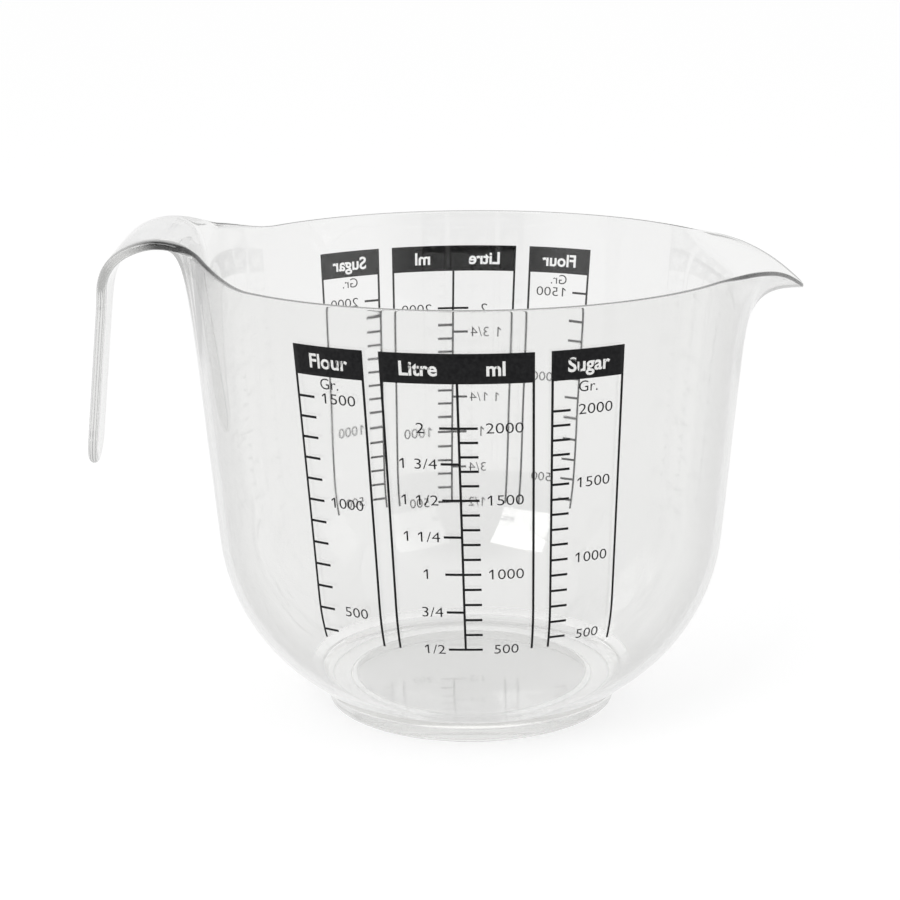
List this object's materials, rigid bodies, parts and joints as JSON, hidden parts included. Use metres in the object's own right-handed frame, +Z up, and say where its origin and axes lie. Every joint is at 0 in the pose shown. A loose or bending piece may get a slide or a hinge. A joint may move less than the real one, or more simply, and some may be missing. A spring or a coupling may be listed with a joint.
{
  "type": "measuring jug",
  "caption": "Clear moulded measuring jug: a round-bottomed bowl on a foot ring, with a pour lip, an open strap handle and printed volume and weight scales.",
  "frame": {"origin": "on the surface that the foot ring stands on, under the middle of the whole jug measured from handle to lip", "axes": "+X towards the pour lip, -X towards the handle, +Z up"},
  "size_m": [0.2326, 0.1816, 0.1583],
  "materials": {
    "clear_plastic": "clear, polished moulding",
    "black_ink": "satin screen-printed ink"
  },
  "bodies": {
    "root": {"jug_body": "clear_plastic", "flour_scale_front": "black_ink", "litre_scale_front": "black_ink", "sugar_scale_front": "black_ink", "flour_scale_back": "black_ink", "litre_scale_back": "black_ink", "sugar_scale_back": "black_ink"}
  },
  "joints": []
}
